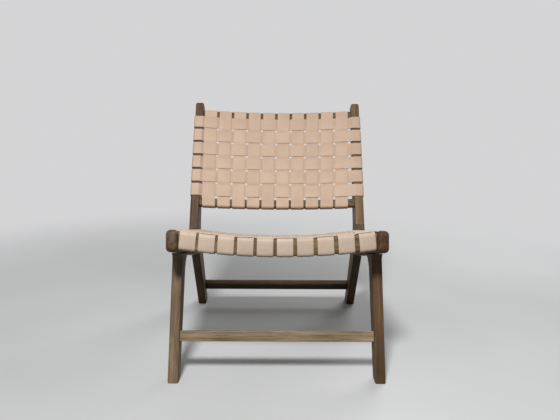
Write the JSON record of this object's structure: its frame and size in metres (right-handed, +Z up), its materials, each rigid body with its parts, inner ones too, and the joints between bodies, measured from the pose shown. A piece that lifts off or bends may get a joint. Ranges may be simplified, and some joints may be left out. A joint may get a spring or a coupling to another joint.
{
  "type": "woven strap lounge chair",
  "caption": "Low armless lounge chair: slanted solid wood frame, seat and leaning back of flat woven leather straps wrapped round the rails.",
  "frame": {"origin": "on the floor, below the middle of the chair seen from above", "axes": "+Z up, -Y towards the front of the seat, +X to the right as seen from the front"},
  "size_m": [0.6158, 0.7152, 0.7753],
  "materials": {
    "wood": "grey-brown open-grained hardwood, thin satin finish",
    "leather": "undyed natural strap leather, smooth and matt, with plain cut edges"
  },
  "bodies": {
    "root": {"side_rail_left": "wood", "front_leg_left": "wood", "rear_leg_left": "wood", "back_post_left": "wood", "post_dowel_front_left": "wood", "post_dowel_rear_left": "wood", "rail_dowel_lower_left": "wood", "rail_dowel_upper_left": "wood", "side_rail_right": "wood", "front_leg_right": "wood", "rear_leg_right": "wood", "back_post_right": "wood", "post_dowel_front_right": "wood", "post_dowel_rear_right": "wood", "rail_dowel_lower_right": "wood", "rail_dowel_upper_right": "wood", "front_seat_rail": "wood", "rear_seat_rail": "wood", "back_top_rail": "wood", "back_bottom_rail": "wood", "front_stretcher": "wood", "rear_stretcher": "wood", "seat_strap_1": "leather", "seat_strap_2": "leather", "seat_strap_3": "leather", "seat_strap_4": "leather", "seat_strap_5": "leather", "seat_strap_6": "leather", "seat_strap_7": "leather", "seat_strap_8": "leather", "seat_strap_9": "leather", "seat_strap_10": "leather", "seat_cross_strap_1": "leather", "seat_cross_strap_2": "leather", "seat_cross_strap_3": "leather", "seat_cross_strap_4": "leather", "seat_cross_strap_5": "leather", "seat_cross_strap_6": "leather", "seat_cross_strap_7": "leather", "back_strap_1": "leather", "back_strap_2": "leather", "back_strap_3": "leather", "back_strap_4": "leather", "back_strap_5": "leather", "back_strap_6": "leather", "back_strap_7": "leather", "back_strap_8": "leather", "back_strap_9": "leather", "back_strap_10": "leather", "back_cross_strap_1": "leather", "back_cross_strap_2": "leather", "back_cross_strap_3": "leather", "back_cross_strap_4": "leather", "back_cross_strap_5": "leather", "back_cross_strap_6": "leather"}
  },
  "joints": []
}
